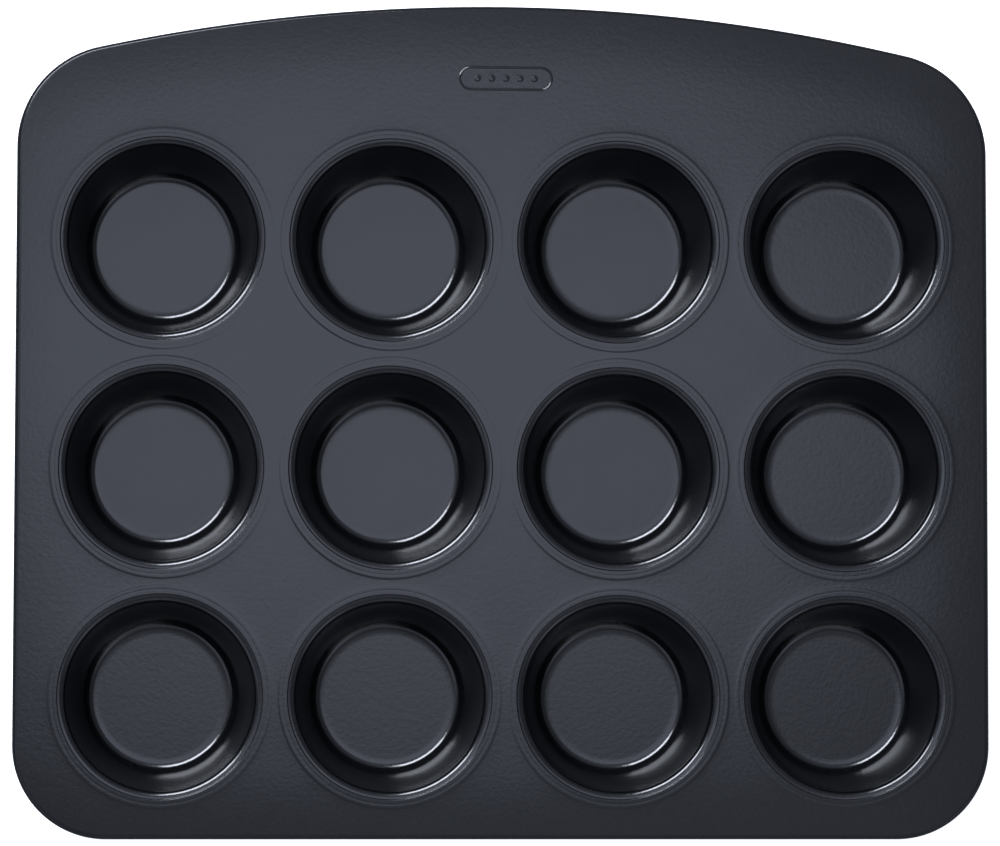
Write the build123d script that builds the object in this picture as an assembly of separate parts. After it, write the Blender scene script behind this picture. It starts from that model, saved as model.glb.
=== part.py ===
from build123d import *
from math import asin, atan2, cos, degrees, hypot, radians, sin, sqrt
import os

# Muffin tin: a tray of twelve conical cups drawn in coated sheet steel, its edge rolled round a wire.
# Frame: +Z up, +X along the long side, +Y towards the arched back edge. The origin is the centre of the
# bounding box's bottom face, on the surface that the cups stand on.

# Sheet and overall layout
SHEET = 0.5                 # thickness of the sheet
COLUMNS = 4
ROW_NAMES = ["front", "middle", "back"]
PITCH = 80.0                # between neighbouring cup axes, both ways
SIDE_MARGIN = 51.0          # from an outer column's axes to the side edge
FRONT_MARGIN = 49.5         # from the front row's axes to the front edge
BACK_MARGIN = 83.3          # from the back row's axes to the crown of the arched back edge
CUP_DEPTH = 30.0            # from the top of the deck to the top of a cup's floor

# Outline of the tray
FRONT_CORNER_R = 32.6
BACK_CORNER_R = 36.4
BACK_ARCH_R = 650.0

# Rolled rim and its wire
RIM_R = 2.2                 # outer radius of the roll
RIM_WRAP = 300.0            # degrees of turn, from the deck over the outside and back up beneath
WIRE_R = 1.6

# Cup, measured on its inner surface
SEAM_R = 36.0               # where the cup's lip meets the deck
STEP_OUTER_R = 35.75        # fine pressed step round the mouth
STEP_INNER_R = 35.25
STEP_DROP = 0.12
SHOULDER_R = 1.65           # rounding from the ledge inside the step into the wall
MOUTH_R = 33.2              # top of the wall
FLOOR_FLAT_R = 22.5         # flat part of the floor
FLOOR_FILLET_R = 5.0        # rounding from the floor into the wall

# Pressed frame on the deck, near the back edge
FRAME_LENGTH = 33.3
FRAME_WIDTH = 8.7
FRAME_LINE = 0.9            # width of the raised line
FRAME_RISE = 0.15
FRAME_FROM_EDGE = 26.7      # from the crown of the back edge to the frame's centre
DOTS = 5
DOT_R = 1.2
DOT_PITCH = 5.0

# Sizes that follow
DECK_TOP = CUP_DEPTH + SHEET
DECK_UNDER = DECK_TOP - SHEET
HALF_WIDTH = (COLUMNS - 1) * PITCH / 2 + SIDE_MARGIN
HALF_DEPTH = ((len(ROW_NAMES) - 1) * PITCH + FRONT_MARGIN + BACK_MARGIN) / 2
ARCH_CENTRE_Y = HALF_DEPTH - BACK_ARCH_R
RIM_CENTRE_Z = DECK_TOP - RIM_R


def cup_axes():
    """Every cup's name with the place of its axis."""
    places = []
    for row, row_name in enumerate(ROW_NAMES):
        y = -HALF_DEPTH + FRONT_MARGIN + row * PITCH
        for column in range(COLUMNS):
            x = (column - (COLUMNS - 1) / 2) * PITCH
            places.append((f"cup_{row_name}_{column + 1}", x, y))
    return places


def tray_outline(inset):
    """The tray's edge moved inwards by inset: straight front and sides, round corners, arched back."""
    side = HALF_WIDTH - inset
    front = -HALF_DEPTH + inset
    front_r = FRONT_CORNER_R - inset
    back_r = BACK_CORNER_R - inset
    front_x = HALF_WIDTH - FRONT_CORNER_R
    front_y = FRONT_CORNER_R - HALF_DEPTH
    # The back corner's circle touches the side and, from inside, the arch.
    back_x = HALF_WIDTH - BACK_CORNER_R
    back_y = ARCH_CENTRE_Y + sqrt((BACK_ARCH_R - BACK_CORNER_R) ** 2 - back_x ** 2)
    lean = degrees(asin(back_x / (BACK_ARCH_R - BACK_CORNER_R)))
    return Wire([
        Line((-front_x, front), (front_x, front)),
        CenterArc((front_x, front_y), front_r, -90, 90),
        Line((side, front_y), (side, back_y)),
        CenterArc((back_x, back_y), back_r, 0, 90 - lean),
        CenterArc((0, ARCH_CENTRE_Y), BACK_ARCH_R - inset, 90 - lean, 2 * lean),
        CenterArc((-back_x, back_y), back_r, 90 + lean, 90 - lean),
        Line((-side, back_y), (-side, front_y)),
        CenterArc((-front_x, front_y), front_r, 180, 90),
    ])


def wall_draft():
    """The wall's lean from upright, so that it is tangent to the shoulder's and the floor's rounding."""
    shoulder = (MOUTH_R + SHOULDER_R, DECK_TOP - STEP_DROP - SHOULDER_R)
    fillet = (FLOOR_FLAT_R, SHEET + FLOOR_FILLET_R)
    across = shoulder[0] - fillet[0]
    up = shoulder[1] - fillet[1]
    return atan2(across, up) - asin((SHOULDER_R + FLOOR_FILLET_R) / hypot(across, up))


def cup_skin(depth):
    """The cup's half section at a depth below its inner surface, from the lip in to the axis."""
    draft = wall_draft()
    ledge = DECK_TOP - STEP_DROP - depth
    shoulder_x = MOUTH_R + SHOULDER_R
    shoulder_z = DECK_TOP - STEP_DROP - SHOULDER_R
    fillet_z = SHEET + FLOOR_FILLET_R
    shoulder_r = SHOULDER_R - depth
    fillet_r = FLOOR_FILLET_R + depth
    floor = SHEET - depth

    def on_shoulder(turn):
        return (shoulder_x - shoulder_r * sin(turn), shoulder_z + shoulder_r * cos(turn))

    def on_fillet(turn):
        return (FLOOR_FLAT_R + fillet_r * sin(turn), fillet_z - fillet_r * cos(turn))

    steep = radians(90) - draft
    return [
        Line((SEAM_R, DECK_TOP - depth), (STEP_OUTER_R, DECK_TOP - depth)),
        Line((STEP_OUTER_R, DECK_TOP - depth), (STEP_INNER_R, ledge)),
        Line((STEP_INNER_R, ledge), on_shoulder(0)),
        ThreePointArc(on_shoulder(0), on_shoulder(steep / 2), on_shoulder(steep)),
        Line(on_shoulder(steep), on_fillet(steep)),
        ThreePointArc(on_fillet(steep), on_fillet(steep / 2), on_fillet(0)),
        Line(on_fillet(0), (0, floor)),
    ]


def make_cup():
    """One cup on its own axis: lip with its step, shoulder, conical wall, rounding and flat floor."""
    inside = cup_skin(0)
    outside = cup_skin(SHEET)
    closing = [
        Line((SEAM_R, DECK_TOP), (SEAM_R, DECK_UNDER)),
        Line((0, SHEET), (0, 0)),
    ]
    section = Plane.XZ * make_face(inside + outside + closing)
    return revolve(section, Axis.Z)


def stadium(length, width):
    """A closed slot shape centred on its own middle."""
    return SlotOverall(length, width)


def make_frame_relief(top, line_width, dot_r):
    """The pressed frame and its row of dots as a band of height FRAME_RISE whose top is at top."""
    place = Pos(0, HALF_DEPTH - FRAME_FROM_EDGE, top - FRAME_RISE)
    middle_line = FRAME_LINE / 2
    edge = line_width / 2
    outer = stadium(FRAME_LENGTH - 2 * (middle_line - edge), FRAME_WIDTH - 2 * (middle_line - edge))
    inner = stadium(FRAME_LENGTH - 2 * (middle_line + edge), FRAME_WIDTH - 2 * (middle_line + edge))
    relief = extrude(place * (outer - inner), FRAME_RISE)
    for number in range(DOTS):
        x = (number - (DOTS - 1) / 2) * DOT_PITCH
        relief += extrude(place * Pos(x, 0, 0) * Circle(dot_r), FRAME_RISE)
    return relief


def make_deck():
    """The flat deck with its cup openings and the frame pressed up from below."""
    face = make_face(tray_outline(RIM_R))
    for _, x, y in cup_axes():
        face -= Pos(x, y, 0) * Circle(SEAM_R)
    deck = extrude(Pos(0, 0, DECK_UNDER) * face, SHEET)
    deck += make_frame_relief(DECK_TOP + FRAME_RISE, FRAME_LINE, DOT_R)
    deck -= make_frame_relief(DECK_UNDER + FRAME_RISE, FRAME_LINE / 2, DOT_R / 2)
    return deck


def make_rim():
    """The rolled edge: a strip that leaves the deck level and curls down, under and back up."""
    inner_r = RIM_R - SHEET
    start = 90.0
    end = start - RIM_WRAP

    def at(radius, turn):
        return (radius * cos(radians(turn)), radius * sin(radians(turn)))

    section = make_face([
        CenterArc((0, 0), RIM_R, start, -RIM_WRAP),
        Line(at(RIM_R, end), at(inner_r, end)),
        CenterArc((0, 0), inner_r, start, -RIM_WRAP),
        Line(at(inner_r, start), at(RIM_R, start)),
    ])
    return sweep_round(section)


def make_wire():
    """The steel wire that the rim is rolled round."""
    return sweep_round(Circle(WIRE_R))


def sweep_round(section):
    """Carries a section round the rim's centre line. The section's X points away from the tray."""
    path = Pos(0, 0, RIM_CENTRE_Z) * tray_outline(RIM_R)
    begin = path @ 0
    outward = Plane(origin=begin, x_dir=(0, -1, 0), z_dir=(-1, 0, 0))
    return sweep(outward * section, path=path)


def main():
    os.makedirs("parts", exist_ok=True)
    pieces = {"tray_deck": make_deck(), "rolled_rim": make_rim(), "rim_wire": make_wire()}
    cup = make_cup()
    for name, x, y in cup_axes():
        pieces[name] = Pos(x, y, 0) * cup
    for name, piece in pieces.items():
        piece.label = name
        export_step(piece, f"parts/{name}.step")


main()
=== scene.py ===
from math import asin, atan2, cos, degrees, exp, hypot, pi, radians, sin, sqrt

import bmesh
import bpy
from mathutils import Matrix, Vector
from mathutils.geometry import delaunay_2d_cdt


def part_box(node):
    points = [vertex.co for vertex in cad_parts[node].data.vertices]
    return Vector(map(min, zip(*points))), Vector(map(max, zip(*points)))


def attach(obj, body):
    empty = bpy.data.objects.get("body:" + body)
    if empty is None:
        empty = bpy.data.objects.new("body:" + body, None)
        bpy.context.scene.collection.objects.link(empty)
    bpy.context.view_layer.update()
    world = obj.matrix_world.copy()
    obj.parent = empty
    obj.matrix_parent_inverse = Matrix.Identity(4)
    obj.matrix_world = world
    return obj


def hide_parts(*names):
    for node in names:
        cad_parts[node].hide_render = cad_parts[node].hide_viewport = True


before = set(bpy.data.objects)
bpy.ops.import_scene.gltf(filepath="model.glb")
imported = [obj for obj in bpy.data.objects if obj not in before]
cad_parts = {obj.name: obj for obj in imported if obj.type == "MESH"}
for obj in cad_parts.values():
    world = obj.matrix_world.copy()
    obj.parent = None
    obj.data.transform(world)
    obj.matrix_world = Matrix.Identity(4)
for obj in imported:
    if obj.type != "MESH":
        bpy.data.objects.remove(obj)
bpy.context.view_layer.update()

# A twelve-cup muffin tin, drawn in one sheet of coated steel with its edge rolled round a wire.
# Everything is in metres in the CAD model's frame: +Z up, +X along the long side, +Y to the arched back.

MM = 0.001

# Sheet and outline, as in the CAD model
SHEET = 0.5 * MM
FRONT_CORNER_R = 32.6 * MM
BACK_CORNER_R = 36.4 * MM
BACK_ARCH_R = 650 * MM
RIM_R = 2.2 * MM                    # outer radius of the rolled rim
RIM_WRAP = 300                      # degrees of turn in the roll
# The roll turns down from the deck in three arcs, as (radius, lean at its end)
ROLL = [(4.69 * MM, 12), (0.6 * MM, 38), (2.55 * MM, 90)]
WIRE_R = 1.6 * MM

# Cup, on its inner surface. Its section is made of arcs, as (radius, lean at its end), where a lean is
# in degrees from level. From the flat lip the section turns down into a fine step,
LIP_R = 35.95 * MM
STEP = [(0.35 * MM, 44), (6 * MM, 46), (0.3 * MM, 3)]
# then over the shoulder into the wall,
SHOULDER = [(5 * MM, 12), (2 * MM, 18), (3.4 * MM, 28), (1.5 * MM, 57), (4.2 * MM, 82)]
# and from the flat floor it turns up through the heel to meet the wall.
FLOOR_FLAT_R = 21.7 * MM
HEEL = [(22 * MM, 5), (3.3 * MM, 18), (4.2 * MM, 28), (3 * MM, 45), (4.6 * MM, 71)]
FLOOR_SHIFT_X = 0.2 * MM            # the floors lie this far to the right of their mouths
FLOOR_SHIFT_Y = -0.35 * MM
FLOOR_LEAN = 0.006                  # the outer rows' floors lie this share nearer the middle row

# Marks that drawing leaves on the deck
PAD_R = 38.8 * MM                   # edge of the pad that clamps the sheet round each cup
PAD_STEP = 0.06 * MM
PAD_STEP_HALF = 0.42 * MM
DECK_SETTLE = 0.1 * MM              # keeps the highest marks within the CAD model's height
SKIRT_RISE = 0.05 * MM              # the sheet eases down outside the pad
SKIRT_LENGTH = 2.2 * MM
SKIRT_REACH = 6 * SKIRT_LENGTH      # beyond this nothing is left of it
SCORE_R = 37.35 * MM
SCORE_DEPTH = 0.015 * MM
SCORE_HALF = 0.35 * MM
DROOP_START = 24 * MM               # the border eases down over this distance from the edge
DROOP = 0.5 * MM

# Plain pressed frame near the back edge
FRAME_HALF_LENGTH = 16.65 * MM
FRAME_HALF_WIDTH = 4.35 * MM
FRAME_LINE = 0.9 * MM               # width of the raised line
FRAME_RISE = 0.16 * MM
FRAME_FROM_EDGE = 25.9 * MM
FRAME_LINE_STEPS = 6                # rows of faces on each side of the line's middle
DOTS = 5
DOT_R = 1.3 * MM
DOT_EDGE = 0.7 * MM                 # width of a dot's sloping edge
DOT_PITCH = 5 * MM
DOT_RINGS = 5
DOT_RING_STEPS = 20

# How finely the surfaces are divided
CUP_STEPS = 160
CORNER_STEPS = 40
FRONT_STEPS = 92
SIDE_STEPS = 72
ARCH_STEPS = 100
FRAME_OUTLINE_STEPS = 24
BORDER_INSETS = [RIM_R, 2.7 * MM, 3.4 * MM, 4.4 * MM, 6 * MM]      # loops along the border
LIP_RING = 0.5 * MM                 # from the seam to the deck's next ring
MARK_STEPS = 4                      # rings on each side of a mark's middle
RING_MARGIN = 0.35 * MM             # from a pad's step, a line or a dot to the last ring round it
# Rings of points that widen away from each cup, as (radius, count)
FILL_RINGS = [(39.9 * MM, 120), (40.7 * MM, 100), (41.9 * MM, 80), (43.6 * MM, 60), (46.2 * MM, 44)]
FILL_SPACING = 4.5 * MM             # of the points on the open deck
FILL_ROW = 0.866                    # from row to row, as a share of the spacing
# Least distance from what is already divided, and from the next point
RING_CLEARANCE = (0.25 * MM, 0.45 * MM)
GRID_CLEARANCE = (1.2 * MM, 2.4 * MM)
ARC_STEPS = 10                      # for each arc of a section
WIRE_STEPS = 20
SHARP_ANGLE = 50                    # degrees between faces, from which their edge shows
WALL_STEPS = 12
FLAT_STEPS = 8
DRAW_DEPTH = 10 * MM                # below this a cup's own draw marks replace the deck's relief
DRAW_MARK = 0.0012                  # unevenness of the wall, as a share of its radius

# Studio: glows as (azimuth, elevation, sharpness, radiance)
MIDDLE = Vector((0, 0, 0.03))
SKY_TINT = (0.877, 0.956, 1.167)
KEY_TINT = (0.93, 0.98, 1.09)
SURROUND = 0.26                     # radiance of the walls between the glows
GLOWS = [
    (135, 67, 90, 0.9),
    (158, 66, 42, 0.65),
    (200, 46, 35, 0.75),
    (228, 35, 30, 0.75),
    (270, 35, 30, 0.6),
    (316, 35, 30, 1.2),
    (300, 76, 60, 0.35),
    (80, 66, 14, 0.5),
    (124, 36, 25, 1.5),
]

# Overhead light: two round diffusers, one under the other, as (name, height, size, radiance)
OVERHEAD_MIDDLE = (0.02, 0.185)
OVERHEADS = [
    ("overhead_outer", 2.2, (1.2, 0.8), 0.62),
    ("overhead_inner", 2.1, (0.9, 0.52), 0.765),
]
# Key light, behind and to the left
KEY_SIZE = (1.65, 0.75)
KEY_AZIMUTH = 121
KEY_ELEVATION = 44.5
KEY_DISTANCE = 2.5
KEY_RADIANCE = 22

# Camera, fitted to the photograph
LENS = 159.8
CAMERA_PLACE = (-0.1077, -0.0979, 1.5788)
CAMERA_TURN = (3.566, -3.921, 0.117)

# Stage
STAGE_R = 6
BACKDROP_HEIGHT = 4
FLOOR_GAP = 0.1 * MM                # keeps the floor's face apart from the cups' undersides
FLOOR_GLOW = 0.8
BACKDROP_GLOW = 1.0

# Places read from the CAD model
rim_low, rim_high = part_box("rolled_rim")
HALF_WIDTH = rim_high.x
HALF_DEPTH = rim_high.y
CUP_NODES = sorted(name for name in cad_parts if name.startswith("cup_"))
CUP_BOXES = {name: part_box(name) for name in CUP_NODES}
CUP_AXES = {name: ((low.x + high.x) / 2, (low.y + high.y) / 2) for name, (low, high) in CUP_BOXES.items()}
cup_low, cup_high = CUP_BOXES[CUP_NODES[0]]
DECK_TOP = cup_high.z
SEAM_R = (cup_high.x - cup_low.x) / 2
ARCH_CENTRE_Y = HALF_DEPTH - BACK_ARCH_R
FRAME_Y = HALF_DEPTH - FRAME_FROM_EDGE
MIDDLE_ROW_Y = CUP_AXES["cup_middle_1"][1]


# ---------------------------------------------------------------- outlines

def straight(start, end, steps):
    """Points from start towards end, without the end itself."""
    return [(start[0] + (end[0] - start[0]) * k / steps, start[1] + (end[1] - start[1]) * k / steps)
            for k in range(steps)]


def bend(centre, radius, start, turn, steps):
    """Points along an arc, angles in degrees, without its last point."""
    angles = [radians(start + turn * k / steps) for k in range(steps)]
    return [(centre[0] + radius * cos(a), centre[1] + radius * sin(a)) for a in angles]


def circle(centre, radius):
    return bend(centre, radius, 0, 360, CUP_STEPS)


def back_corner():
    """Centre of the right back corner's circle, and how far round from straight back it meets the arch."""
    x = HALF_WIDTH - BACK_CORNER_R
    reach = BACK_ARCH_R - BACK_CORNER_R
    return x, ARCH_CENTRE_Y + sqrt(reach ** 2 - x ** 2), degrees(asin(x / reach))


def tray_outline(inset):
    """The tray's edge moved inwards by inset, with points that match from one inset to the next."""
    side = HALF_WIDTH - inset
    front = HALF_DEPTH - inset
    front_x = HALF_WIDTH - FRONT_CORNER_R
    front_y = FRONT_CORNER_R - HALF_DEPTH
    back_x, back_y, lean = back_corner()
    front_r = FRONT_CORNER_R - inset
    back_r = BACK_CORNER_R - inset
    points = straight((-front_x, -front), (front_x, -front), FRONT_STEPS)
    points += bend((front_x, front_y), front_r, -90, 90, CORNER_STEPS)
    points += straight((side, front_y), (side, back_y), SIDE_STEPS)
    points += bend((back_x, back_y), back_r, 0, 90 - lean, CORNER_STEPS)
    points += bend((0, ARCH_CENTRE_Y), BACK_ARCH_R - inset, 90 - lean, 2 * lean, ARCH_STEPS)
    points += bend((-back_x, back_y), back_r, 90 + lean, 90 - lean, CORNER_STEPS)
    points += straight((-side, back_y), (-side, front_y), SIDE_STEPS)
    points += bend((-front_x, front_y), front_r, 180, 90, CORNER_STEPS)
    return points


def edge_distance(x, y):
    """How far a point lies inside the tray's edge."""
    front_x = HALF_WIDTH - FRONT_CORNER_R
    front_y = FRONT_CORNER_R - HALF_DEPTH
    back_x, back_y, lean = back_corner()
    if abs(x) > front_x and y < front_y:
        return FRONT_CORNER_R - hypot(abs(x) - front_x, y - front_y)
    to_arch = BACK_ARCH_R - hypot(x, y - ARCH_CENTRE_Y)
    past_corner = degrees(atan2(y - back_y, abs(x) - back_x))
    if abs(x) > back_x and 0 < past_corner < 90 - lean:
        return BACK_CORNER_R - hypot(abs(x) - back_x, y - back_y)
    return min(HALF_WIDTH - abs(x), y + HALF_DEPTH, to_arch)


def frame_outline(offset):
    """The pressed frame's middle line moved outwards by offset."""
    radius = FRAME_HALF_WIDTH - FRAME_LINE / 2 + offset
    run = FRAME_HALF_LENGTH - FRAME_HALF_WIDTH
    steps = FRAME_OUTLINE_STEPS
    points = straight((-run, FRAME_Y - radius), (run, FRAME_Y - radius), steps)
    points += bend((run, FRAME_Y), radius, -90, 180, steps)
    points += straight((run, FRAME_Y + radius), (-run, FRAME_Y + radius), steps)
    points += bend((-run, FRAME_Y), radius, 90, 180, steps)
    return points


# ---------------------------------------------------------------- relief of the sheet

def ease(t):
    """Smooth step from 0 to 1."""
    t = min(1, max(0, t))
    return t * t * (3 - 2 * t)


def hump(distance, half):
    """A smooth hump of height 1, with half its width on each side."""
    if abs(distance) >= half:
        return 0
    return 0.5 + 0.5 * cos(pi * distance / half)


def sway(x, y):
    """The slight unevenness of thin sheet, a few hundredths of a millimetre."""
    wave = 0.4 * sin(41 * x + 23 * y + 1.1) + 0.35 * sin(-29 * x + 47 * y + 2.6)
    wave += 0.25 * sin(83 * x + 9 * y + 0.4) * sin(71 * y - 0.9)
    return 0.035 * MM * wave


def droop(x, y):
    """How far the border has eased down towards the rim."""
    return DROOP * max(0, 1 - edge_distance(x, y) / DROOP_START) ** 2


def pad_mark(x, y):
    """The clamped ring round every cup, standing a little proud, and its fine scored line."""
    height = 0
    for cup_x, cup_y in CUP_AXES.values():
        radius = hypot(x - cup_x, y - cup_y)
        if radius > PAD_R + SKIRT_REACH:
            continue
        turn = atan2(y - cup_y, x - cup_x)
        strength = 0.85 + 0.3 * sin(turn + 60 * cup_x) + 0.2 * sin(2 * turn + 90 * cup_y)
        height += strength * PAD_STEP * ease((PAD_R + PAD_STEP_HALF - radius) / (2 * PAD_STEP_HALF))
        height += SKIRT_RISE * exp(-max(0, radius - PAD_R) / SKIRT_LENGTH)
        height -= SCORE_DEPTH * hump(radius - SCORE_R, SCORE_HALF)
    return height


def frame_line_distance(x, y):
    """How far a point lies from the middle of the pressed frame's line."""
    run = FRAME_HALF_LENGTH - FRAME_HALF_WIDTH
    from_spine = hypot(max(0, abs(x) - run), y - FRAME_Y)
    return abs(from_spine - FRAME_HALF_WIDTH + FRAME_LINE / 2)


def dot_places():
    """Where the dots lie along x."""
    return [(number - (DOTS - 1) / 2) * DOT_PITCH for number in range(DOTS)]


def frame_mark(x, y):
    """The raised line of the plain frame and the row of dots inside it."""
    height = FRAME_RISE * hump(frame_line_distance(x, y), FRAME_LINE / 2)
    for dot_x in dot_places():
        edge = DOT_R - hypot(x - dot_x, y - FRAME_Y)
        height += FRAME_RISE * ease(edge / DOT_EDGE)
    return height


def relief(x, y):
    """Height of the sheet above the plane of the deck."""
    return sway(x, y) - droop(x, y) + pad_mark(x, y) + frame_mark(x, y) - DECK_SETTLE


# ---------------------------------------------------------------- meshes

class Skin:
    """Points and faces of one piece while it is made."""

    def __init__(self):
        self.points = []
        self.faces = []

    def add(self, points):
        first = len(self.points)
        self.points += points
        return list(range(first, len(self.points)))

    def bridge(self, below, above):
        """Joins two closed loops of as many points with a band of quads."""
        count = len(below)
        for k in range(count):
            after = (k + 1) % count
            self.faces.append((below[k], below[after], above[after], above[k]))

    def fan(self, loop, tip):
        """Closes a loop with triangles to one point."""
        count = len(loop)
        for k in range(count):
            self.faces.append((loop[k], loop[(k + 1) % count], tip))

    def piece(self, name, nodes, material):
        """Makes the object, smooth but for its real edges, hangs it under the root body and hides the CAD
        nodes it stands for.
        """
        mesh = bpy.data.meshes.new(name)
        mesh.from_pydata(self.points, [], self.faces)
        shell = bmesh.new()
        shell.from_mesh(mesh)
        bmesh.ops.recalc_face_normals(shell, faces=shell.faces)
        shell.to_mesh(mesh)
        shell.free()
        mesh.polygons.foreach_set("use_smooth", [True] * len(mesh.polygons))
        mesh.set_sharp_from_angle(angle=radians(SHARP_ANGLE))
        mesh.materials.append(material)
        made = bpy.data.objects.new(name, mesh)
        bpy.context.scene.collection.objects.link(made)
        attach(made, "root")
        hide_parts(*nodes)
        return made


def carry_on(points, radius, end, steps):
    """Carries a half section on along an arc until it leans end degrees from level."""
    r, z, start = points[-1]
    side = radius if end > start else -radius
    for k in range(1, steps + 1):
        lean = start + (end - start) * k / steps
        points.append((r - side * (sin(radians(lean)) - sin(radians(start))),
                       z - side * (cos(radians(start)) - cos(radians(lean))), lean))


def inner_section(floor):
    """Half section from the lip to the floor's flat, as (radius, height from the deck, lean)."""
    top = [(LIP_R, 0, 0)]
    for radius, lean in STEP + SHOULDER:
        carry_on(top, radius, lean, ARC_STEPS)
    rising = [(-FLOOR_FLAT_R, -floor, 0)]
    for radius, lean in HEEL:
        carry_on(rising, radius, lean, ARC_STEPS)
    bottom = [(-r, -z, lean) for r, z, lean in reversed(rising)]
    r, z, steep = top[-1]
    foot_r, foot_z, foot_lean = bottom[0]
    slant = atan2(z - foot_z, r - foot_r)
    bow = hypot(r - foot_r, z - foot_z) * radians(steep - foot_lean) / 2
    wall = []
    for k in range(1, WALL_STEPS):
        share = k / WALL_STEPS
        sag = bow * share * (1 - share)
        wall.append((r + (foot_r - r) * share + sag * sin(slant),
                     z + (foot_z - z) * share - sag * cos(slant),
                     steep + (foot_lean - steep) * share))
    return top + wall + bottom


def floor_offset(axis):
    """How far the middle of a cup's floor lies from the cup's axis."""
    return FLOOR_SHIFT_X, FLOOR_SHIFT_Y + FLOOR_LEAN * (MIDDLE_ROW_Y - axis[1])


def cup_ring(skin, axis, radius, height, lifts):
    """One ring of a cup. It follows the deck's relief near the mouth and has its own draw marks below."""
    low = ease(-height / DRAW_DEPTH)
    depth = min(1, -height / (DECK_TOP - SHEET))
    middle_x, middle_y = (middle + depth * offset for middle, offset in zip(axis, floor_offset(axis)))
    points = []
    for k in range(CUP_STEPS):
        turn = 2 * pi * k / CUP_STEPS
        draw = DRAW_MARK * (sin(5 * turn + 300 * axis[0]) + 0.6 * sin(11 * turn + 500 * axis[1]))
        r = radius * (1 + low * draw)
        z = DECK_TOP + height + (1 - low) * lifts[k]
        points.append((middle_x + r * cos(turn), middle_y + r * sin(turn), z))
    return skin.add(points)


def build_cup(name, material):
    """One cup of sheet, its underside SHEET below its inner surface and without the fine step."""
    axis = CUP_AXES[name]
    floor = SHEET - DECK_TOP
    skin = Skin()
    lifts = [relief(x, y) for x, y in circle(axis, SEAM_R)]
    inner = inner_section(floor)
    flat = [(FLOOR_FLAT_R * k / FLAT_STEPS, floor) for k in range(FLAT_STEPS - 1, 0, -1)]
    above = [(SEAM_R, 0)] + [(r, z) for r, z, _ in inner] + flat
    below = [(SEAM_R, -SHEET)]
    after_step = len(STEP) * ARC_STEPS
    for r, z, lean in inner[after_step::2]:
        below.append((r + SHEET * sin(radians(lean)), z - SHEET * cos(radians(lean))))
    below += [(r, z - SHEET) for r, z in flat[1::2]]
    sides = []
    for section in (above, below):
        rings = [cup_ring(skin, axis, r, z, lifts) for r, z in section]
        for outer, inside in zip(rings, rings[1:]):
            skin.bridge(outer, inside)
        offset_x, offset_y = floor_offset(axis)
        tip = (axis[0] + offset_x, axis[1] + offset_y, DECK_TOP + section[-1][1])
        skin.fan(rings[-1], skin.add([tip])[0])
        sides.append(rings[0])
    skin.bridge(*sides)
    return skin.piece(f"{name}_sheet", [name], material)


def pad_radii():
    """Radii of the deck's rings round a cup, close together at the scored line and at the pad's edge."""
    radii = [SEAM_R, SEAM_R + LIP_RING]
    for middle, half in ((SCORE_R, SCORE_HALF), (PAD_R, PAD_STEP_HALF)):
        radii += [middle + half * k / MARK_STEPS for k in range(-MARK_STEPS, MARK_STEPS + 1)]
    return radii + [PAD_R + PAD_STEP_HALF + RING_MARGIN]


def deck_plan():
    """The deck seen from above: its points, its faces, and its boundary loops."""
    plan = Skin()
    boundaries = []
    fixed = []
    ring_radii = pad_radii()
    for axis in CUP_AXES.values():
        loops = [plan.add(circle(axis, r)) for r in ring_radii]
        for inner, outer in zip(loops, loops[1:]):
            plan.bridge(outer[::-1], inner[::-1])
        boundaries.append(loops[0])
        fixed.append(loops[-1])
    line_steps = range(-FRAME_LINE_STEPS, FRAME_LINE_STEPS + 1)
    offsets = [FRAME_LINE / 2 * k / FRAME_LINE_STEPS for k in line_steps]
    offsets = [offsets[0] - RING_MARGIN] + offsets + [offsets[-1] + RING_MARGIN]
    frame_loops = [plan.add(frame_outline(offset)) for offset in offsets]
    for inner, outer in zip(frame_loops, frame_loops[1:]):
        plan.bridge(outer[::-1], inner[::-1])
    fixed += [frame_loops[0], frame_loops[-1]]
    border = [plan.add(tray_outline(inset)) for inset in BORDER_INSETS]
    for outer, inner in zip(border, border[1:]):
        plan.bridge(outer, inner)
    fixed.append(border[-1])
    fill_plan(plan, fixed, ring_radii[-1])
    return plan, boundaries, border[0]


def fill_plan(plan, fixed, ring_r):
    """Triangulates what the rings, the frame and the border leave open."""
    inputs = [index for loop in fixed for index in loop]
    place = {index: k for k, index in enumerate(inputs)}
    edges = [(place[loop[k]], place[loop[(k + 1) % len(loop)]]) for loop in fixed for k in range(len(loop))]
    flat = [Vector(plan.points[index]) for index in inputs]
    extra = fill_points(ring_r)
    flat += [Vector(point) for point in extra]
    found, _, triangles, origins, _, _ = delaunay_2d_cdt(flat, edges, [], 0, 1e-7)
    extra_index = plan.add(extra)
    all_index = inputs + extra_index
    to_plan = [all_index[origin[0]] for origin in origins]
    for triangle in triangles:
        x = sum(found[k].x for k in triangle) / 3
        y = sum(found[k].y for k in triangle) / 3
        if open_deck(x, y, ring_r):
            plan.faces.append(tuple(to_plan[k] for k in triangle))


def open_deck(x, y, ring_r, margin=0):
    """Whether a point of the deck lies outside the rings, the frame's line and the border, by a margin."""
    if edge_distance(x, y) < BORDER_INSETS[-1] + margin:
        return False
    if frame_line_distance(x, y) < FRAME_LINE / 2 + RING_MARGIN + margin:
        return False
    return all(hypot(x - cup_x, y - cup_y) > ring_r + margin for cup_x, cup_y in CUP_AXES.values())


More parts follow.
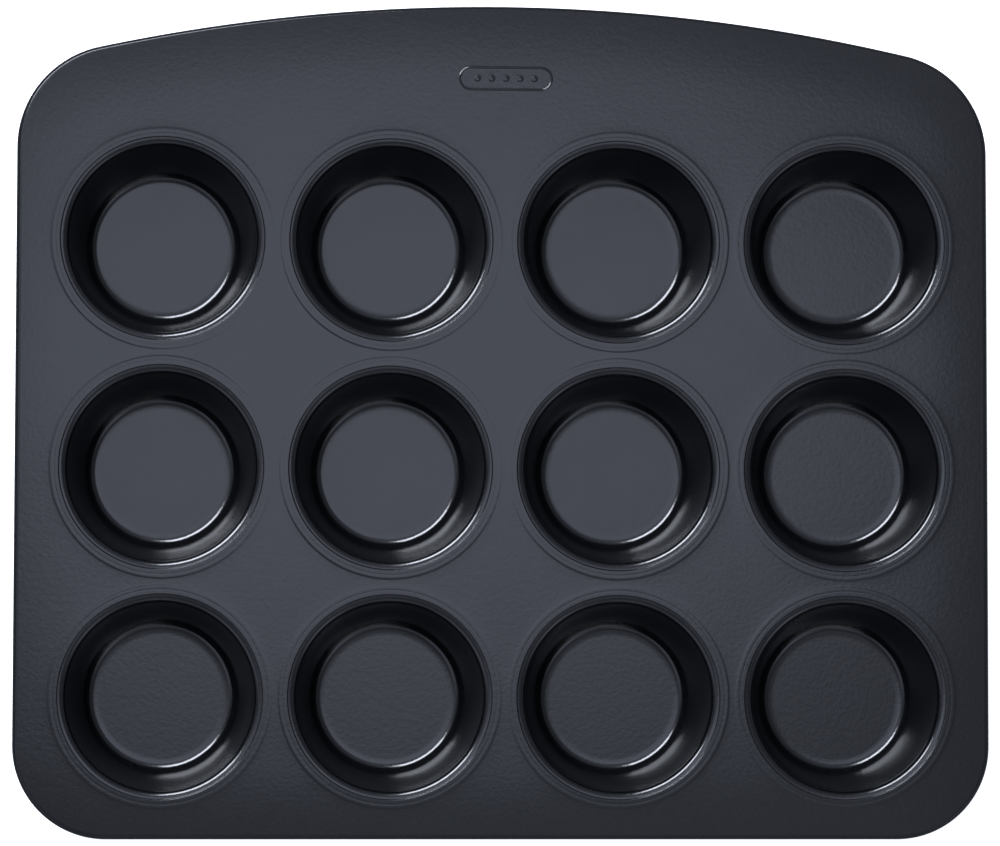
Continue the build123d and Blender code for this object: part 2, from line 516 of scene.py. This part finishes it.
def fill_points(ring_r):
    """Points inside the open deck: rings that widen away from each cup, the dots, and a grid elsewhere."""
    points = []
    cells = {}

    def offer(x, y, margin, apart):
        column, row = round(x / FILL_SPACING), round(y / FILL_SPACING)
        near = [p for i in (-1, 0, 1) for j in (-1, 0, 1) for p in cells.get((column + i, row + j), [])]
        if open_deck(x, y, ring_r, margin) and all(hypot(x - a, y - b) > apart for a, b in near):
            points.append((x, y))
            cells.setdefault((column, row), []).append((x, y))

    dot_radii = [DOT_R * ring / DOT_RINGS for ring in range(1, DOT_RINGS + 1)]
    dot_radii.append(DOT_R + RING_MARGIN)
    for dot_x in dot_places():
        offer(dot_x, FRAME_Y, 0, 0)
        for radius in dot_radii:
            for x, y in bend((dot_x, FRAME_Y), radius, 0, 360, DOT_RING_STEPS):
                offer(x, y, 0, 0)
    for radius, count in FILL_RINGS:
        for cup_x, cup_y in CUP_AXES.values():
            for k in range(count):
                a = 2 * pi * (k + 0.5 * (count % 3)) / count
                offer(cup_x + radius * cos(a), cup_y + radius * sin(a), *RING_CLEARANCE)
    rows = int(2 * HALF_DEPTH / (FILL_SPACING * FILL_ROW))
    columns = int(2 * HALF_WIDTH / FILL_SPACING)
    for row in range(rows):
        y = -HALF_DEPTH + row * FILL_SPACING * FILL_ROW
        for column in range(columns):
            x = -HALF_WIDTH + (column + 0.5 * (row % 2)) * FILL_SPACING
            offer(x, y, *GRID_CLEARANCE)
    return points


def build_deck(material):
    plan, seams, edge = deck_plan()
    skin = Skin()
    heights = [DECK_TOP + relief(x, y) for x, y in plan.points]
    skin.add([(x, y, z) for (x, y), z in zip(plan.points, heights)])
    skin.add([(x, y, z - SHEET) for (x, y), z in zip(plan.points, heights)])
    below = len(plan.points)
    skin.faces = list(plan.faces)
    skin.faces += [tuple(index + below for index in reversed(face)) for face in plan.faces]
    for seam in seams:
        skin.bridge(seam, [index + below for index in seam])
    skin.bridge([index + below for index in edge], edge)
    return skin.piece("tray_deck_sheet", ["tray_deck"], material)


def sweep_round(skin, section, lifts):
    """Carries a closed section round the edge. Its points are (inset, height from the deck)."""
    loops = []
    for inset, height in section:
        outline = tray_outline(inset)
        loops.append(skin.add([(x, y, DECK_TOP + height + lift) for (x, y), lift in zip(outline, lifts)]))
    for first, second in zip(loops, loops[1:] + loops[:1]):
        skin.bridge(second, first)


def build_rim(material):
    """The roll: one band of sheet carried round the edge, from the deck over, under and back up."""
    skin = Skin()
    outside = [(RIM_R, 0, 0)]
    for radius, lean in ROLL:
        carry_on(outside, radius, lean, ARC_STEPS)
    carry_on(outside, RIM_R, RIM_WRAP, 3 * ARC_STEPS)
    section = [(inset, height) for inset, height, _ in outside]
    for inset, height, lean in reversed(outside):
        turn = radians(lean)
        section.append((inset + SHEET * sin(turn), height - SHEET * cos(turn)))
    sweep_round(skin, section, rim_lifts())
    return skin.piece("rolled_rim_sheet", ["rolled_rim"], material)


def build_wire(material):
    """The wire inside the roll."""
    skin = Skin()
    turns = [2 * pi * k / WIRE_STEPS for k in range(WIRE_STEPS)]
    section = [(RIM_R - WIRE_R * cos(turn), WIRE_R * sin(turn) - RIM_R) for turn in turns]
    sweep_round(skin, section[::-1], rim_lifts())
    return skin.piece("rim_wire_core", ["rim_wire"], material)


def rim_lifts():
    """Relief of the sheet where it enters the roll."""
    return [relief(x, y) for x, y in tray_outline(RIM_R)]


# ---------------------------------------------------------------- materials

# Features per metre of the coating's noises, and the depth of its orange peel
MOTTLE_SCALE = 35
CLOUD_SCALE = 160
PEEL_SCALE = 620
GRAIN_SCALE = 2000
PEEL_DEPTH = 0.028 * MM
COATING_DARK = (0.0002, 0.0003, 0.0006)
COATING_LIGHT = (0.0040, 0.0043, 0.0052)
COATING_ROUGHNESS = (0.145, 0.175)
STREAK_SCALE = 900
WIRE_DARK = (0.36, 0.36, 0.37)
WIRE_LIGHT = (0.5, 0.5, 0.51)
WIRE_ROUGHNESS = (0.3, 0.45)
PAPER_SCALE = 3
PAPER_DARK = (0.88, 0.88, 0.88)
PAPER_LIGHT = (0.9, 0.9, 0.9)


class Nodes:
    """A short way to write a material's node tree."""

    def __init__(self, name):
        self.material = bpy.data.materials.new(name)
        self.material.use_nodes = True
        self.tree = self.material.node_tree
        self.tree.nodes.clear()

    def add(self, kind, **settings):
        node = self.tree.nodes.new(kind)
        for key, value in settings.items():
            if key.startswith("in_"):
                node.inputs[key[3:].replace("_", " ")].default_value = value
            else:
                setattr(node, key, value)
        return node

    def link(self, source, target):
        self.tree.links.new(source, target)

    def noise(self, place, scale, detail=2.0, roughness=0.5):
        node = self.add("ShaderNodeTexNoise", in_Scale=scale, in_Detail=detail, in_Roughness=roughness)
        self.link(place, node.inputs["Vector"])
        return node.outputs["Fac"]

    def remap(self, value, from_low, from_high, to_low, to_high):
        node = self.add("ShaderNodeMapRange")
        node.inputs["From Min"].default_value = from_low
        node.inputs["From Max"].default_value = from_high
        node.inputs["To Min"].default_value = to_low
        node.inputs["To Max"].default_value = to_high
        self.link(value, node.inputs["Value"])
        return node.outputs["Result"]

    def mix_colour(self, share, first, second):
        node = self.add("ShaderNodeMix", data_type="RGBA")
        for socket in node.inputs:
            if socket.name == "A" and socket.type == "RGBA":
                socket.default_value = (*first, 1)
            if socket.name == "B" and socket.type == "RGBA":
                socket.default_value = (*second, 1)
        self.link(share, node.inputs["Factor"])
        return next(socket for socket in node.outputs if socket.type == "RGBA")

    def sum(self, first, second):
        node = self.add("ShaderNodeMath", operation="ADD")
        self.link(first, node.inputs[0])
        self.link(second, node.inputs[1])
        return node.outputs[0]

    def finish(self, shader):
        output = self.add("ShaderNodeOutputMaterial")
        self.link(shader, output.inputs["Surface"])
        return self.material


def coated_steel():
    """Dark non-stick coating: satin, with an orange-peel texture, a fine grain and faint mottling."""
    nodes = Nodes("coated_steel_finish")
    place = nodes.add("ShaderNodeTexCoord").outputs["Object"]
    mottle = nodes.noise(place, MOTTLE_SCALE, detail=3)
    cloud = nodes.noise(place, CLOUD_SCALE, detail=3)
    grain = nodes.noise(place, GRAIN_SCALE, detail=2)
    peel = nodes.noise(place, PEEL_SCALE, detail=2, roughness=0.65)
    shader = nodes.add("ShaderNodeBsdfPrincipled", in_IOR=1.5)
    colour = nodes.mix_colour(nodes.remap(grain, 0.35, 0.65, 0, 1), COATING_DARK, COATING_LIGHT)
    nodes.link(colour, shader.inputs["Base Color"])
    rough = nodes.remap(nodes.sum(mottle, cloud), 0.6, 1.4, *COATING_ROUGHNESS)
    nodes.link(rough, shader.inputs["Roughness"])
    peel_bump = nodes.add("ShaderNodeBump", in_Strength=1.0, in_Distance=PEEL_DEPTH)
    nodes.link(peel, peel_bump.inputs["Height"])
    nodes.link(peel_bump.outputs["Normal"], shader.inputs["Normal"])
    return nodes.finish(shader.outputs["BSDF"])


def steel_wire():
    """Plain drawn wire with fine lengthwise brightness changes."""
    nodes = Nodes("steel_wire_finish")
    place = nodes.add("ShaderNodeTexCoord").outputs["Object"]
    streak = nodes.noise(place, STREAK_SCALE, detail=3)
    shader = nodes.add("ShaderNodeBsdfPrincipled", in_Metallic=1.0)
    colour = nodes.mix_colour(streak, WIRE_DARK, WIRE_LIGHT)
    nodes.link(colour, shader.inputs["Base Color"])
    nodes.link(nodes.remap(streak, 0.3, 0.7, *WIRE_ROUGHNESS), shader.inputs["Roughness"])
    return nodes.finish(shader.outputs["BSDF"])


def pale_paper(name, glow):
    """Matt white paper, lit up by glow so that it comes out as a plain background."""
    nodes = Nodes(name)
    place = nodes.add("ShaderNodeTexCoord").outputs["Object"]
    shader = nodes.add("ShaderNodeBsdfPrincipled", in_Roughness=0.9)
    colour = nodes.mix_colour(nodes.noise(place, PAPER_SCALE), PAPER_DARK, PAPER_LIGHT)
    nodes.link(colour, shader.inputs["Base Color"])
    shader.inputs["Emission Color"].default_value = (1, 1, 1, 1)
    shader.inputs["Emission Strength"].default_value = glow
    return nodes.finish(shader.outputs["BSDF"])


# ---------------------------------------------------------------- stage

def softbox(name, place, aim, size, power, colour):
    """A rectangular soft light at place, facing aim."""
    lamp = bpy.data.lights.new(name, "AREA")
    lamp.shape = "RECTANGLE"
    lamp.size, lamp.size_y = size
    lamp.energy = power
    lamp.color = colour
    made = bpy.data.objects.new(name, lamp)
    made.location = place
    made.rotation_euler = (Vector(aim) - Vector(place)).to_track_quat("-Z", "Y").to_euler()
    made.visible_camera = False
    bpy.context.scene.collection.objects.link(made)
    return made


def radiance_power(radiance, size):
    """Watts that give an area light this radiance."""
    return radiance * size[0] * size[1] * pi


def toward(azimuth, elevation):
    """Unit direction at these angles; azimuth 0 is +X and 90 is +Y."""
    a, e = radians(azimuth), radians(elevation)
    return Vector((cos(e) * cos(a), cos(e) * sin(a), sin(e)))


def build_lights():
    """An overhead diffuser, brighter towards its middle, and a key light behind and to the left."""
    for name, height, size, radiance in OVERHEADS:
        power = radiance_power(radiance, size) * pi / 4
        lamp = softbox(name, (*OVERHEAD_MIDDLE, height), (*OVERHEAD_MIDDLE, 0), size, power, SKY_TINT)
        lamp.data.shape = "ELLIPSE"
    key_place = MIDDLE + KEY_DISTANCE * toward(KEY_AZIMUTH, KEY_ELEVATION)
    softbox("key_softbox", key_place, MIDDLE, KEY_SIZE, radiance_power(KEY_RADIANCE, KEY_SIZE), KEY_TINT)
    bpy.context.scene.world = studio_surroundings()


def studio_surroundings():
    """Dim pale walls with broad soft glows, as white reflectors round a table give."""
    world = bpy.data.worlds.new("studio")
    world.use_nodes = True
    tree = world.node_tree
    tree.nodes.clear()
    place = tree.nodes.new("ShaderNodeTexCoord")
    total = None
    for azimuth, elevation, sharpness, radiance in GLOWS:
        lean = tree.nodes.new("ShaderNodeVectorMath")
        lean.operation = "DOT_PRODUCT"
        lean.inputs[1].default_value = toward(azimuth, elevation)
        tree.links.new(place.outputs["Generated"], lean.inputs[0])
        falloff = tree.nodes.new("ShaderNodeMath")
        falloff.operation = "MULTIPLY_ADD"
        falloff.inputs[1].default_value = sharpness
        falloff.inputs[2].default_value = -sharpness
        tree.links.new(lean.outputs["Value"], falloff.inputs[0])
        bell = tree.nodes.new("ShaderNodeMath")
        bell.operation = "EXPONENT"
        tree.links.new(falloff.outputs[0], bell.inputs[0])
        part = tree.nodes.new("ShaderNodeMath")
        part.operation = "MULTIPLY_ADD"
        part.inputs[1].default_value = radiance
        part.inputs[2].default_value = SURROUND if total is None else 0
        if total is not None:
            tree.links.new(total, part.inputs[2])
        tree.links.new(bell.outputs[0], part.inputs[0])
        total = part.outputs[0]
    background = tree.nodes.new("ShaderNodeBackground")
    background.inputs["Color"].default_value = (*SKY_TINT, 1)
    tree.links.new(total, background.inputs["Strength"])
    output = tree.nodes.new("ShaderNodeOutputWorld")
    tree.links.new(background.outputs[0], output.inputs["Surface"])
    return world


def build_floor():
    bpy.ops.mesh.primitive_plane_add(size=2 * STAGE_R, location=(0, 0, -FLOOR_GAP))
    floor = bpy.context.object
    floor.name = "studio_floor"
    floor.data.materials.append(pale_paper("pale_floor_finish", FLOOR_GLOW))
    floor.visible_glossy = False


def build_backdrop():
    """A pale wall round the floor. Only the camera sees it, so it changes no light and no reflection."""
    wall = Skin()
    loop = circle((0, 0), STAGE_R)
    foot = wall.add([(x, y, -FLOOR_GAP) for x, y in loop])
    top = wall.add([(x, y, BACKDROP_HEIGHT) for x, y in loop])
    wall.bridge(foot, top)
    mesh = bpy.data.meshes.new("studio_backdrop")
    mesh.from_pydata(wall.points, [], wall.faces)
    mesh.materials.append(pale_paper("pale_backdrop_finish", BACKDROP_GLOW))
    backdrop = bpy.data.objects.new("studio_backdrop", mesh)
    bpy.context.scene.collection.objects.link(backdrop)
    backdrop.visible_diffuse = False
    backdrop.visible_glossy = False
    backdrop.visible_shadow = False


def build_camera():
    lens = bpy.data.cameras.new("camera")
    lens.lens = LENS
    lens.sensor_width = 36
    lens.clip_start = 0.05
    lens.clip_end = 50
    camera = bpy.data.objects.new("camera", lens)
    camera.location = CAMERA_PLACE
    camera.rotation_euler = [radians(turn) for turn in CAMERA_TURN]
    bpy.context.scene.collection.objects.link(camera)
    bpy.context.scene.camera = camera


def main():
    bpy.context.scene.view_settings.view_transform = "Standard"
    build_camera()
    build_floor()
    build_backdrop()
    build_lights()
    coating = coated_steel()
    build_deck(coating)
    build_rim(coating)
    build_wire(steel_wire())
    for name in CUP_NODES:
        build_cup(name, coating)


main()
